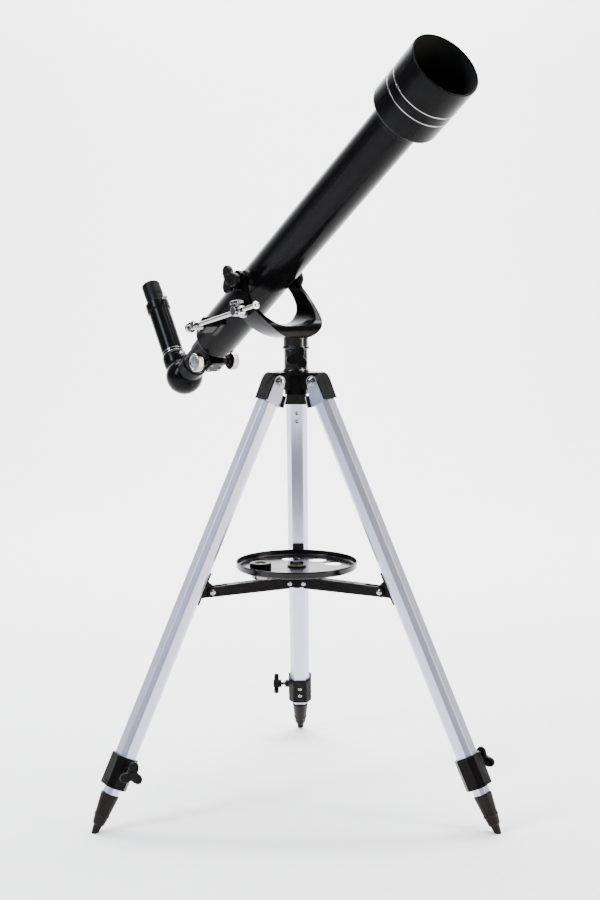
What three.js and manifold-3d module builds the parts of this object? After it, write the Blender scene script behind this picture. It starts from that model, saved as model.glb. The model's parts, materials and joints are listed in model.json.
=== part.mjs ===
// A small achromatic refractor telescope on a swept-back fork mount and a three-leg
// aluminium tripod. Millimetres, +Z up. The tripod axis is the Z axis while the model is
// built; at the end the whole stand is moved so that its origin is the middle of the
// bounding box on the ground.
import * as THREE from "three";
import { mergeVertices } from "three/addons/utils/BufferGeometryUtils.js";
import Module from "manifold-3d";

const wasm = await Module();
wasm.setup();

// ---- driving dimensions -------------------------------------------------------------
const GAP = 0.3; // clearance between pieces that touch

const FOOT_RADIUS = 292.9; // tripod axis to a foot tip
const LEG_PIVOT = { radius: 30, height: 559.3 };
const LEG_ANGLES = { left: -150, right: -30, back: 90 };
const OUTER_LEG = { width: 28, depth: 23, chamfer: 6, wall: 1.4 };
const INNER_LEG = { width: 22, depth: 17, chamfer: 4.6, wall: 1.3 };
const OUTER_LEG_BOTTOM = 75; // measured along the leg from the foot tip
const OUTER_LEG_TOP_DROP = 30.5; // below the leg pivot
const CLAMP = { bottom: 61.5, top: 102.6, width: 34, depth: 28.5, chamfer: 7 };
const LOCK_SCREW_HEIGHT = 88; // up the leg, inside the clamp sleeve
const INNER_LEG_TOP = 470;
const FOOT_TOP = 52;

const SPREADER_PIN = { legRadius: 127.4, hubRadius: 14.5, height: 291.5 };
const ARM = { height: 15, wall: 2, innerHalf: 4.5 };
const TRAY = { radius: 80.7, floor: 311, top: 319.2, wall: 1.4, hole: 12.4, holeCircle: 52 };
const TRAY_HOLE_ANGLES = [22, 58, 100, 205];

const HUB = { bottom: 541, plate: 567.3, top: 570.8 };
const COLUMN = { radius: 15, top: 600, socketRadius: 16 };
const SPINDLE_RADIUS = 9;
const AZIMUTH_KNOB_HEIGHT = 589.6;
const AZIMUTH_KNOB_ANGLE = -82;

const POINTING_AZIMUTH = -52.9;
const POINTING_ALTITUDE = 34.15;
const TRUNNION = { back: 67, height: 690.5 }; // behind the azimuth axis, and its height
const YOKE = { // half widths across the fork, and heights
  outer: 46.5, belly: 50.3, bellyHeight: 656, wall: 5, bottom: 613.6, cradle: 630.5, armEnd: 11.6,
};

const TUBE = { radius: 30, wall: 1.2, rear: -148.5, front: 343 };
const DEW = { radius: 44.7, wall: 1.6, rear: 331, front: 429.7 };
const DRAWTUBE = { radius: 17.4, wall: 1.5, rear: -216, front: -60 };
const PINION = { teeth: 11, module: 0.8, along: -171, below: -24.5 };
const HOUSING = { rear: -184, front: -165, bottom: -30.4, width: 26 };
const FOCUS_KNOB = { radius: 12.8, from: 20.4, to: 34.6 };
const BALL = { along: -251.4, radius: 26.7, chamber: 22.8, bore: 12.4 };
const ERECTOR = {
  along: -260.4, radius: 15.8, collarRadius: 17.4, foot: 16, shoulder: 36, collar: 118, top: 131,
};
const EYEPIECE_TOP = 165;
const DIAGONAL_SCREW_HEIGHT = 31;
const DIAGONAL_TURN = -1.6; // degrees about the sight line

const ROD = { pivotAlong: -98, pivotHeight: -8.5, side: -61, radius: 3.1 };
const ROD_SLOPE = -22.2; // degrees, against the tube axis
const ROD_BACK = 16; // behind its pivot
const ROD_FORWARD = 147; // ahead of its pivot
const ROD_CLAMP_DISTANCE = 102;

// ---- materials ----------------------------------------------------------------------
const finish = (color, roughness, metalness = 0) =>
  new THREE.MeshStandardMaterial({ color, roughness, metalness });
const paintBlack = finish(0x0b0a0b, 0.22, 0.1);
const plasticBlack = finish(0x15130f, 0.45);
const rubberBlack = finish(0x17130f, 0.8);
const aluminium = finish(0xc9c8d4, 0.38, 0.85);
const greyPaint = finish(0x8e94a6, 0.42, 0.4);
const chrome = finish(0xd8d4d0, 0.12, 1);
const brass = finish(0xb08d4a, 0.35, 1);
const mirrorCoat = finish(0xe8ecee, 0.03, 1);
const glass = new THREE.MeshStandardMaterial({
  color: 0xcfe0e4, roughness: 0.02, transparent: true, opacity: 0.35,
});

// ---- shape helpers ------------------------------------------------------------------
const rad = THREE.MathUtils.degToRad;

function solid(geometry) {
  const bare = geometry.clone();
  for (const name of ["normal", "uv"]) bare.deleteAttribute(name);
  const merged = mergeVertices(bare, 1e-4);
  return new wasm.Manifold(new wasm.Mesh({
    numProp: 3,
    vertProperties: merged.attributes.position.array,
    triVerts: new Uint32Array(merged.index.array),
  }));
}

function geometryOf(manifold) {
  const mesh = manifold.getMesh();
  const geometry = new THREE.BufferGeometry();
  geometry.setAttribute("position", new THREE.BufferAttribute(mesh.vertProperties, 3));
  geometry.setIndex(new THREE.BufferAttribute(mesh.triVerts, 1));
  geometry.computeVertexNormals();
  return geometry;
}

const join = (...parts) =>
  geometryOf(parts.map(solid).reduce((whole, part) => whole.add(part)));
const cut = (body, ...tools) =>
  geometryOf(tools.map(solid).reduce((whole, tool) => whole.subtract(tool), solid(body)));
const common = (a, b) => geometryOf(solid(a).intersect(solid(b)));

// A turned piece: [along, radius] pairs, turned about the x, y or z axis.
function turned(axis, profile, segments = 18) {
  const area = profile.reduce((sum, [u, r], i) => {
    const [nextU, nextR] = profile[(i + 1) % profile.length];
    return sum + r * nextU - nextR * u;
  }, 0);
  const ordered = area > 0 ? profile : [...profile].reverse();
  const closed = ordered[0][1] > 0 ? [...ordered, ordered[0]] : ordered;
  const points = closed.map(([u, r]) => new THREE.Vector2(r, u));
  const lathe = new THREE.LatheGeometry(points, segments);
  if (axis === "x") lathe.rotateZ(-Math.PI / 2);
  if (axis === "z") lathe.rotateX(Math.PI / 2);
  return lathe;
}

const bar = (axis, radius, from, to, segments = 14) =>
  turned(axis, [[from, 0], [from, radius], [to, radius], [to, 0]], segments);
const pipe = (axis, outer, inner, from, to, segments = 20) =>
  turned(axis, [[from, inner], [from, outer], [to, outer], [to, inner]], segments);

// A box given by its lowest and highest corners.
function block(low, high) {
  const size = high.map((value, i) => value - low[i]);
  const middle = high.map((value, i) => (value + low[i]) / 2);
  return new THREE.BoxGeometry(...size).translate(...middle);
}

// An outline in two of the axes, pulled along the third one from one place to another.
function slab(plane, outline, from, to, holes = []) {
  const shape = outline instanceof THREE.Shape ? outline
    : new THREE.Shape(outline.map(([a, b]) => new THREE.Vector2(a, b)));
  holes.forEach((hole) => shape.holes.push(hole));
  const geometry = new THREE.ExtrudeGeometry(shape, {
    depth: to - from, bevelEnabled: false, curveSegments: 6,
  });
  if (plane === "xz") return geometry.rotateX(Math.PI / 2).translate(0, to, 0);
  geometry.translate(0, 0, from);
  return plane === "yz" ? geometry.rotateZ(Math.PI / 2).rotateY(Math.PI / 2) : geometry;
}

// The eight-sided section of a leg tube: width across (y), depth outwards (x).
function legOutline({ width, depth, chamfer }, inset = 0) {
  const x = depth / 2 - inset;
  const y = width / 2 - inset;
  const c = chamfer - inset * (2 - Math.SQRT2);
  return [
    [x, y - c], [x - c, y], [c - x, y], [-x, y - c],
    [-x, c - y], [c - x, -y], [x - c, -y], [x, c - y],
  ];
}

const asPath = (outline) => new THREE.Path(outline.map(([a, b]) => new THREE.Vector2(a, b)));
const legTube = (section, from, to) =>
  slab("xy", legOutline(section), from, to, [asPath(legOutline(section, section.wall))]);

// The outline of a three-lobed hand knob.
function lobedOutline(tip, waist, turn = 0, points = 24) {
  return Array.from({ length: points }, (_, i) => {
    const angle = (i / points) * 2 * Math.PI;
    const reach = (tip + waist) / 2 + ((tip - waist) / 2) * Math.cos(3 * angle);
    return [reach * Math.cos(angle + turn), reach * Math.sin(angle + turn)];
  });
}

// A hand knob on the y axis: screw, hub and lobed grip, pointing towards +y.
function handKnob({ tip, waist, screw, screwFrom, hub, hubFrom, gripFrom, gripTo, turn = 0 }) {
  const stem = turned("y", [
    [screwFrom, 0], [screwFrom, screw], [hubFrom, screw], [hubFrom, hub],
    [gripFrom + 1, hub], [gripFrom + 1, 0],
  ], 14);
  const grip = slab("xz", lobedOutline(tip, waist, turn), gripFrom, gripTo);
  return join(stem, grip);
}

function place(parent, name, geometry, material) {
  const mesh = new THREE.Mesh(geometry, material);
  mesh.name = name;
  parent.add(mesh);
  return mesh;
}

function group(parent, position = [0, 0, 0], rotation = [0, 0, 0]) {
  const made = new THREE.Group();
  made.position.set(...position);
  made.rotation.set(...rotation);
  parent.add(made);
  return made;
}

// ---- tripod -------------------------------------------------------------------------
const LEAN = Math.atan2(FOOT_RADIUS - LEG_PIVOT.radius, LEG_PIVOT.height);
const LEG_LENGTH = Math.hypot(FOOT_RADIUS - LEG_PIVOT.radius, LEG_PIVOT.height);
const HEAD_PLATE = { inside: 9.2, outside: 11.8 }; // across the leg, from its middle

// Rubber boot with a spigot inside the inner leg and a tip worn flat on the ground.
function foot() {
  const boot = turned("z", [
    [-2, 0], [-2, 3.9], [2.5, 4.6], [10, 5.6], [12.5, 7.6], [FOOT_TOP, 12.2], [FOOT_TOP, 0],
  ], 16);
  const inside = INNER_LEG.wall + GAP;
  const spigot = slab("xy", legOutline(INNER_LEG, inside), FOOT_TOP - 1, FOOT_TOP + 18);
  const ground = new THREE.BoxGeometry(80, 80, 40).translate(0, 0, -20).rotateY(LEAN);
  return cut(join(boot, spigot), ground);
}

function legClamp() {
  const sleeve = slab("xy", legOutline(CLAMP), CLAMP.bottom, CLAMP.top);
  const upper = slab("xy", legOutline(OUTER_LEG, -GAP), OUTER_LEG_BOTTOM - GAP, CLAMP.top + 1);
  const lower = slab("xy", legOutline(INNER_LEG, -GAP), CLAMP.bottom - 1, OUTER_LEG_BOTTOM);
  const boss = bar("y", 5.5, 15, 22.5, 14).translate(0, 0, LOCK_SCREW_HEIGHT);
  const bore = bar("y", 3.1, 5, 30, 10).translate(0, 0, LOCK_SCREW_HEIGHT);
  return cut(join(sleeve, boss), upper, lower, bore);
}

// Two side plates, a plug in the tube and a flared lip, round the leg's top pivot.
function legHead() {
  const drop = OUTER_LEG_TOP_DROP;
  const side = new THREE.Shape();
  side.moveTo(-14.5, -drop + GAP);
  side.lineTo(8.8, -drop + GAP);
  side.lineTo(7.6, 0);
  side.absarc(0, 0, 7.6, 0, Math.PI, false);
  side.lineTo(-14.5, -drop + GAP);
  const { inside, outside } = HEAD_PLATE;
  const plates = [[-outside, -inside], [inside, outside]].map(([a, b]) => slab("xz", side, a, b));
  const base = block([-14.5, -outside, -drop + GAP], [8.8, outside, -drop + 7]);
  const plug = slab("xy", legOutline(OUTER_LEG, OUTER_LEG.wall + GAP), -drop - 14, -drop + 1);
  const lip = slab("yz", [[-16.5, -drop + 0.6], [16.5, -drop + 0.6], [12.5, -drop + 16],
    [-12.5, -drop + 16]], -17, -14);
  const pivot = bar("y", 3.1, -outside - 1, outside + 1, 16);
  return cut(join(...plates, base, plug, lip), pivot);
}

const pinDrop = LEG_PIVOT.height - SPREADER_PIN.height;
const pinReach = SPREADER_PIN.legRadius - LEG_PIVOT.radius;
const LEG_PIN = { // the spreader pin in the leg's own axes
  x: pinReach * Math.cos(LEAN) - pinDrop * Math.sin(LEAN),
  z: -pinReach * Math.sin(LEAN) - pinDrop * Math.cos(LEAN),
};

function spreaderBracket() {
  const face = -OUTER_LEG.depth / 2 - GAP;
  const plate = block([face - 2, -8, LEG_PIN.z - 22], [face, 8, LEG_PIN.z + 22]);
  const ear = new THREE.Shape();
  ear.moveTo(face - 1, LEG_PIN.z - 14);
  ear.lineTo(face - 1, LEG_PIN.z + 12);
  ear.lineTo(LEG_PIN.x, LEG_PIN.z + 7.5);
  ear.absarc(LEG_PIN.x, LEG_PIN.z, 7.5, Math.PI / 2, (3 * Math.PI) / 2, false);
  ear.lineTo(face - 1, LEG_PIN.z - 14);
  const pin = bar("y", 2.9, -9, 9, 16).translate(LEG_PIN.x, 0, LEG_PIN.z);
  return cut(join(plate, slab("xz", ear, -ARM.innerHalf + 0.6, ARM.innerHalf - 0.6)), pin);
}

// A channel from the spreader hub to the leg bracket, open below, with its pin at the leg.
function spreaderArm() {
  const { hubRadius, legRadius, height } = SPREADER_PIN;
  const half = ARM.height / 2;
  const outside = ARM.innerHalf + ARM.wall;
  const side = new THREE.Shape();
  side.moveTo(hubRadius + 3, height - half);
  side.lineTo(legRadius, height - 6.5);
  side.absarc(legRadius, height, 6.5, -Math.PI / 2, Math.PI / 2, false);
  side.lineTo(hubRadius + 3, height + half);
  side.absellipse(hubRadius + 3, height, 8, half, Math.PI / 2, (3 * Math.PI) / 2, false);
  const walls = [[-outside, -ARM.innerHalf], [ARM.innerHalf, outside]]
    .map(([a, b]) => slab("xz", side, a, b));
  const web = block([38, -outside, height + half - 2.2], [104, outside, height + half - 0.5]);
  const pin = bar("y", 2.5, -outside - 1.5, outside + 1.5, 16).translate(legRadius, 0, height);
  return join(...walls, web, pin);
}

function lockKnob() {
  const knob = handKnob({
    tip: 16.5, waist: 7.5, screw: 2.8, screwFrom: 15, hub: 5.6, hubFrom: 28,
    gripFrom: 32, gripTo: 39, turn: rad(80),
  });
  return knob.translate(0, 0, LOCK_SCREW_HEIGHT);
}

function buildLeg(stand, side, angle) {
  const turnedGroup = group(stand, [0, 0, 0], [0, 0, rad(angle)]);
  const atPivot = group(turnedGroup, [LEG_PIVOT.radius, 0, LEG_PIVOT.height], [0, -LEAN, 0]);
  const atTip = group(atPivot, [0, 0, -LEG_LENGTH]);
  const outerTop = LEG_LENGTH - OUTER_LEG_TOP_DROP;
  place(atPivot, `leg_head_${side}`, legHead(), greyPaint);
  place(atTip, `outer_leg_${side}`, legTube(OUTER_LEG, OUTER_LEG_BOTTOM, outerTop), aluminium);
  place(atTip, `leg_clamp_${side}`, legClamp(), plasticBlack);
  place(atTip, `inner_leg_${side}`, legTube(INNER_LEG, FOOT_TOP + GAP, INNER_LEG_TOP), aluminium);
  place(atTip, `foot_${side}`, foot(), rubberBlack);
  place(atTip, `leg_lock_knob_${side}`, lockKnob(), plasticBlack);
  place(atPivot, `spreader_bracket_${side}`, spreaderBracket(), plasticBlack);
  place(turnedGroup, `spreader_arm_${side}`, spreaderArm(), plasticBlack);
}

// Central post, thin three-lobed top plate, three lugs, and a hood outside each leg head.
function tripodHub() {
  const post = bar("z", COLUMN.radius, HUB.bottom, COLUMN.top, 24);
  const roof = slab("xy", lobedOutline(38.7, 20, rad(90), 30), HUB.plate, HUB.top);
  const hoodFront = slab("yz", [[-16, 535], [16, 535], [16, 561], [14, 567], [8, 571], [-8, 571],
    [-14, 567], [-16, 561]], 30, 60);
  const arms = Object.values(LEG_ANGLES).flatMap((angle) => {
    const lug = block([4, -8.6, 548], [37.5, 8.6, HUB.plate + 1]);
    const hood = slab("xz", [[33, HUB.top], [38.7, HUB.top], [52.3, 537.5], [50.6, 537.5],
      [40.4, LEG_PIVOT.height], [36.8, HUB.plate], [33, HUB.plate]], -17, 17);
    return [lug, common(hood, hoodFront)].map((piece) => piece.rotateZ(rad(angle)));
  });
  const pins = Object.values(LEG_ANGLES).map((angle) =>
    bar("y", 3, -30, 30, 16).translate(LEG_PIVOT.radius, 0, LEG_PIVOT.height).rotateZ(rad(angle)));
  const spindle = bar("z", SPINDLE_RADIUS + GAP, 574, COLUMN.top + 1, 24);
  const screw = bar("x", 3.1, 4, 30, 16).translate(0, 0, AZIMUTH_KNOB_HEIGHT)
    .rotateZ(rad(AZIMUTH_KNOB_ANGLE));
  return cut(join(post, roof, ...arms), ...pins, spindle, screw);
}

// Post under the tray with a lug towards each arm.
function spreaderHub() {
  const post = bar("z", 5.2, 283, TRAY.floor - 1.2, 24);
  const seat = bar("z", 13, TRAY.floor - 6, TRAY.floor - 1.2, 24);
  const lugs = Object.values(LEG_ANGLES).map((angle) =>
    block([0, -3.6, 284.5], [19, 3.6, 298]).rotateZ(rad(angle)));
  return cut(join(post, seat, ...lugs), bar("z", 3.1, 296, TRAY.floor, 16));
}

// A shallow dish with eyepiece holes.
function tray() {
  const { radius, floor, top, wall, hole, holeCircle } = TRAY;
  const dish = turned("z", [
    [floor - 0.9, 0], [floor - 0.9, radius - 2], [floor + 1, radius - 0.4], [top - 1, radius],
    [top, radius - 0.5], [top, radius - wall], [floor + 2, radius - wall - 0.2],
    [floor + 0.6, radius - 3.2], [floor + 0.6, 0],
  ], 36);
  const holes = TRAY_HOLE_ANGLES.map((angle) =>
    bar("z", hole, floor - 5, floor + 5, 16).translate(holeCircle, 0, 0).rotateZ(rad(angle)));
  return cut(dish, ...holes, bar("z", 3.2, floor - 5, floor + 5, 16));
}

// Wing screw that holds the tray down on the spreader hub.
function trayScrew() {
  const { floor } = TRAY;
  const stem = turned("z", [
    [floor - 13, 0], [floor - 13, 2.8], [floor + 0.9, 2.8], [floor + 0.9, 11.5],
    [floor + 3.4, 10.5], [floor + 4.6, 6], [floor + 4.6, 0],
  ]);
  const wing = slab("xz", [[-9, floor + 3], [9, floor + 3], [8, floor + 11], [3, floor + 9.5],
    [-3, floor + 9.5], [-8, floor + 11]], -1.6, 1.6);
  return join(stem, wing);
}

// The spare eyepiece that stands in a tray hole: chromed barrel below, black body above.
function spareEyepiece() {
  const { floor } = TRAY;
  return turned("z", [
    [floor - 10.5, 10.4], [floor - 10.5, 12.1], [floor + 0.9, 12.1], [floor + 0.9, 14.2],
    [floor + 9, 14.2], [floor + 10, 13.4], [floor + 10, 8], [floor + 8.6, 6.5],
    [floor + 8.6, 0], [floor + 5, 0], [floor + 5, 10.4],
  ]).translate(TRAY.holeCircle, 0, 0).rotateZ(rad(TRAY_HOLE_ANGLES.at(-1)));
}

function buildTripod(stand) {
  place(stand, "tripod_hub", tripodHub(), plasticBlack);
  for (const [side, angle] of Object.entries(LEG_ANGLES)) buildLeg(stand, side, angle);
  place(stand, "spreader_hub", spreaderHub(), plasticBlack);
  place(stand, "tray", tray(), paintBlack);
  place(stand, "tray_screw", trayScrew(), plasticBlack);
  place(stand, "spare_eyepiece", spareEyepiece(), chrome);
  const facing = group(stand, [0, 0, AZIMUTH_KNOB_HEIGHT], [0, 0, rad(AZIMUTH_KNOB_ANGLE - 90)]);
  place(facing, "azimuth_lock_knob", handKnob({
    tip: 15.5, waist: 8, screw: 2.8, screwFrom: 9.8, hub: 5, hubFrom: 15.4,
    gripFrom: 18, gripTo: 24.5, turn: rad(-12),
  }), plasticBlack);
}

// ---- fork mount ---------------------------------------------------------------------
// A C-shaped cradle seen from the front: straight arm ends, a wider belly, a round floor.
function cradleOutline(inset, floor, corner) {
  const { outer, belly, bellyHeight } = YOKE;
  const half = outer - inset;
  const wide = belly - inset;
  const top = TRUNNION.height + 30;
  const shape = new THREE.Shape();
  shape.moveTo(half, top);
  shape.lineTo(half, TRUNNION.height - 13);
  shape.quadraticCurveTo(wide, bellyHeight + 16, wide, Math.max(bellyHeight, floor + corner));
  shape.absarc(wide - corner, floor + corner, corner, 0, -Math.PI / 2, true);
  shape.absarc(corner - wide, floor + corner, corner, -Math.PI / 2, -Math.PI, true);
  shape.quadraticCurveTo(-wide, bellyHeight + 16, -half, TRUNNION.height - 13);
  shape.lineTo(-half, top);
  return shape;
}

// The cradle, cut to a swept-back outline, on a socket and a spindle.
function yoke() {
  const { belly, wall, bottom, cradle, armEnd } = YOKE;
  const back = -TRUNNION.back;
  const outside = slab("yz", cradleOutline(0, bottom, 45), back - 30, 40);
  const inside = slab("yz", cradleOutline(wall, cradle, 30), back - 34, 44);
  const outline = new THREE.Shape();
  outline.absarc(back, TRUNNION.height, armEnd, rad(40), rad(196), false);
  outline.bezierCurveTo(back - 8, 672, -57, 656, -55, 642);
  outline.bezierCurveTo(-52, 630, -39, 620, -24, 608);
  outline.lineTo(5, 608);
  outline.bezierCurveTo(12, 620, 7, 630, -6, 640);
  outline.bezierCurveTo(-22, 652, -41, 668, -54, 690);
  const side = slab("xz", outline, -belly - 5, belly + 5);
  const socket = bar("z", COLUMN.socketRadius, COLUMN.top + GAP, bottom + 3, 24);
  const spindle = bar("z", SPINDLE_RADIUS, 576, bottom + 3, 24);
  const trunnions = bar("y", 4.4, -60, 60, 20).translate(back, 0, TRUNNION.height);
  return cut(join(common(outside, side), socket, spindle), inside, trunnions);
}

// The big three-lobed knob on the left, which holds the tilt.
function leftAltitudeKnob() {
  const knob = handKnob({
    tip: 20.4, waist: 11, screw: 4, screwFrom: 37.5, hub: 5, hubFrom: YOKE.outer + GAP,
    gripFrom: 54, gripTo: 61,
  });
  return knob.rotateX(Math.PI).translate(-TRUNNION.back, 0, TRUNNION.height);
}

// The small round one on the right.
function rightAltitudeKnob() {
  const knob = turned("y", [[37.5, 0], [37.5, 4], [46.8, 4], [46.8, 10.6], [48, 11.8], [53, 11.8],
    [54.6, 10.4], [54.6, 5], [56.5, 4.4], [56.5, 0]], 18);
  return knob.translate(-TRUNNION.back, 0, TRUNNION.height);
}

function buildMount(stand) {
  const turntable = group(stand, [0, 0, 0], [0, 0, rad(POINTING_AZIMUTH)]);
  place(turntable, "yoke", yoke(), paintBlack);
  place(turntable, "altitude_knob_left", leftAltitudeKnob(), plasticBlack);
  place(turntable, "altitude_knob_right", rightAltitudeKnob(), plasticBlack);
  return group(turntable, [-TRUNNION.back, 0, TRUNNION.height], [0, -rad(POINTING_ALTITUDE), 0]);
}

// ---- optical tube: x along the sight line, y to the right, z up across the tube -------
const tubeClear = () => bar("x", TUBE.radius + GAP, TUBE.rear - 5, TUBE.front + 5, 36);

function trunnionBoss(sign) {
  const boss = turned("y", [[22, 0], [22, 12], [35.5, 12], [36.5, 11], [36.5, 8], [41.2, 8],
    [41.2, 0]], 20);
  const made = cut(boss, tubeClear(), bar("y", 4.3, 25, 50, 20));
  return sign < 0 ? made.rotateX(Math.PI) : made;
}

function dewShield() {
  const { radius, wall, rear, front } = DEW;
  const bore = TUBE.radius + GAP;
  return turned("x", [
    [rear, bore], [rear, 32.4], [rear + 9, 32.8], [rear + 11, 34.5], [rear + 11.5, 41],
    [rear + 13.5, radius - 0.8], [rear + 16, radius], [front - 0.6, radius], [front, radius - 0.6],
    [front, radius - wall], [rear + 18, radius - wall], [rear + 15, 41.4], [rear + 13.7, 36],
    [rear + 11.5, bore],
  ], 32);
}

// Lens cell: a spigot in the tube and a cup that holds the doublet.
const LENS = { radius: 30.6, seat: 364, join: 370.6, front: 376.4 };
function objectiveCell() {
  const spigot = TUBE.radius - TUBE.wall - GAP;
  return turned("x", [
    [325, 26.5], [325, spigot], [TUBE.front + GAP, spigot], [TUBE.front + GAP, 31], [351, 36], [382, 36], [382, 29.2], [378, 29.2],
    [377.5, LENS.radius + 2 * GAP], [LENS.seat - GAP, LENS.radius + 2 * GAP], [LENS.seat - GAP, 28.5],
    [352, 27.5],
  ], 22);
}

// A round lens with a curved face at each end; a positive bulge swells away from the lens.
function lens(radius, from, to, bulgeFrom, bulgeTo, axis = "x", steps = 3) {
  const face = (at, bulge) => Array.from({ length: steps + 1 }, (_, i) => {
    const r = (radius * i) / steps;
    return [at + bulge * (1 - (r / radius) ** 2), r];
  });
  return turned(axis, [...face(from, -bulgeFrom), ...face(to, bulgeTo).reverse()], 18);
}

function tubeBaffle() {
  const outer = TUBE.radius - TUBE.wall - GAP;
  return turned("x", [[118, 19], [118, outer], [126, outer], [126, outer - 0.9], [119, outer - 0.9],
    [119, 19]], 18);
}

// Rear cap of the tube, focuser neck and the housing round the pinion.
function focuserBody() {
  const plug = TUBE.radius - TUBE.wall - GAP;
  const bore = DRAWTUBE.radius + GAP;
  const neck = turned("x", [
    [TUBE.rear + 16, bore], [TUBE.rear + 16, plug], [TUBE.rear - GAP, plug], [TUBE.rear - GAP, 29.8],
    [TUBE.rear - 4, 29.2], [TUBE.rear - 9, 21.4], [-192, 19.4], [-192, bore],
  ], 24);
  const { along, below } = PINION;
  const { rear, front, bottom, width } = HOUSING;
  const housing = block([rear, -width / 2, bottom], [front, width / 2, -14]);
  const bearing = bar("y", 5.6, -20, 20, 18).translate(along, 0, below);
  const rackWay = block([-215, -3.9, below + 2.6], [-100, 3.9, -12]);
  const pinionWay = bar("y", 5.2, -4.6, 4.6, 16).translate(along, 0, below);
  const shaftWay = bar("y", 2.5, -30, 30, 14).translate(along, 0, below);
  const drawWay = bar("x", bore, -230, -100, 24);
  return cut(join(neck, housing, bearing), drawWay, rackWay, pinionWay, shaftWay);
}

function pinionCover() {
  const { rear, front, bottom, width } = HOUSING;
  const half = width / 2 - 1;
  return slab("xy", [[rear - 2, 3 - half], [rear + 2, -half], [front - 2, -half],
    [front + 2, 3 - half], [front + 2, half - 3], [front - 2, half], [rear + 2, half],
    [rear - 2, half - 3]], bottom - GAP - 1.6, bottom - GAP);
}

const PITCH = Math.PI * PINION.module;
const PITCH_RADIUS = (PINION.teeth * PINION.module) / 2;
const PITCH_LINE = PINION.below + PITCH_RADIUS;

function rack() {
  const teeth = 32;
  const start = PINION.along - 14.5 * PITCH; // a tooth stands straight above the pinion axis
  const top = -DRAWTUBE.radius - GAP;
  const outline = [[start, top], [start, PITCH_LINE + 1]];
  for (let i = 0; i < teeth; i += 1) {
    const middle = start + (i + 0.5) * PITCH;
    outline.push([middle - 0.85, PITCH_LINE + 1], [middle - 0.3, PITCH_LINE - 0.65],
      [middle + 0.3, PITCH_LINE - 0.65], [middle + 0.85, PITCH_LINE + 1]);
  }
  const end = start + teeth * PITCH;
  outline.push([end, PITCH_LINE + 1], [end, top]);
  return slab("xz", outline, -3, 3);
}

// Shaft with the pinion cut on it, meshing upwards with the rack.
function pinionShaft() {
  const outline = [];
  for (let i = 0; i < PINION.teeth; i += 1) {
    const middle = rad(90) + ((i + 0.5) / PINION.teeth) * 2 * Math.PI;
    for (const [turn, reach] of [[-0.2, -1.05], [-0.075, 0.62], [0.075, 0.62], [0.2, -1.05]]) {
      outline.push([(PITCH_RADIUS + reach) * Math.cos(middle + turn),
        (PITCH_RADIUS + reach) * Math.sin(middle + turn)]);
    }
  }
  const gear = slab("xz", outline, -4, 4);
  return join(gear, bar("y", 2.2, -FOCUS_KNOB.to + 2, FOCUS_KNOB.to - 2, 20)).translate(PINION.along, 0, PINION.below);
}

function focusKnob(sign) {
  const { radius, from, to } = FOCUS_KNOB;
  const profile = [[from, 2.5], [from, 6], [from + 4, 6], [from + 4.6, radius - 0.9],
    [from + 5.5, radius], [to - 1, radius], [to, radius - 1], [to, radius - 2.9],
    [to - 1.2, radius - 3.5], [to - 1.2, 2.5]];
  const knob = turned("y", profile, 18);
  if (sign < 0) knob.rotateX(Math.PI);
  return knob.translate(PINION.along, 0, PINION.below);
}

// Star diagonal: a ball with a bore along the tube and one straight up, and a flat
// at 45 degrees inside for the mirror. The way out stands a little behind the ball's middle.
function diagonalBody() {
  const { along, radius, chamber, bore } = BALL;
  const { foot: outletFoot, shoulder } = ERECTOR;
  const offset = ERECTOR.along - along;
  const plug = DRAWTUBE.radius - DRAWTUBE.wall - GAP;
  const face = DRAWTUBE.rear - GAP - along; // where the inlet meets the drawtube
  const ball = new THREE.SphereGeometry(radius, 20, 12);
  const inlet = turned("x", [[0, 0], [0, 19], [face, 19], [face, plug], [face + 22, plug],
    [face + 22, 0]], 18);
  const outlet = turned("z", [[0, 0], [0, 17], [24, 17], [26, 18], [shoulder - GAP, 18],
    [shoulder - GAP, 0]], 18).translate(offset, 0, 0);
  const mirrorFlat = block([-50, -50, -55], [50, 50, -3.3]).rotateY(rad(45)).translate(offset, 0, 0);
  const hollow = solid(new THREE.SphereGeometry(chamber, 14, 8)).subtract(solid(mirrorFlat));
  const inletBore = bar("x", bore, 0, 80, 16);
  const outletBore = bar("z", bore, outletFoot - 10, 60, 16).translate(offset, 0, 0);
  const screw = bar("x", 2.5, 5, 30, 14).translate(offset, 0, DIAGONAL_SCREW_HEIGHT);
  const body = cut(join(ball, inlet, outlet), geometryOf(hollow), inletBore, outletBore, screw);
  return body.translate(along, 0, 0);
}

function diagonalMirror() {
  const plate = block([-11.6, -9.2, -3], [11.6, 9.2, -0.6]).rotateY(rad(45));
  return plate.translate(ERECTOR.along, 0, 0);
}

// Long erecting tube: a barrel in the diagonal, a shoulder, and a holder for the eyepiece.
function erectingTube() {
  const { radius, collarRadius, foot: barrel, shoulder, collar, top } = ERECTOR;
  const body = turned("z", [
    [barrel, 10.8], [barrel, 12.1], [shoulder, 12.1], [shoulder, radius + 1.8],
    [shoulder + 4, radius + 1.8], [shoulder + 5, radius], [collar, radius],
    [collar + 0.6, collarRadius], [top, collarRadius], [top, 12.4], [top - 26, 12.4],
    [top - 26, 10.8],
  ], 20);
  const screw = bar("x", 1.9, 8, 24, 12).translate(0, 0, top - 5);
  return cut(body, screw).translate(ERECTOR.along, 0, 0);
}

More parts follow.
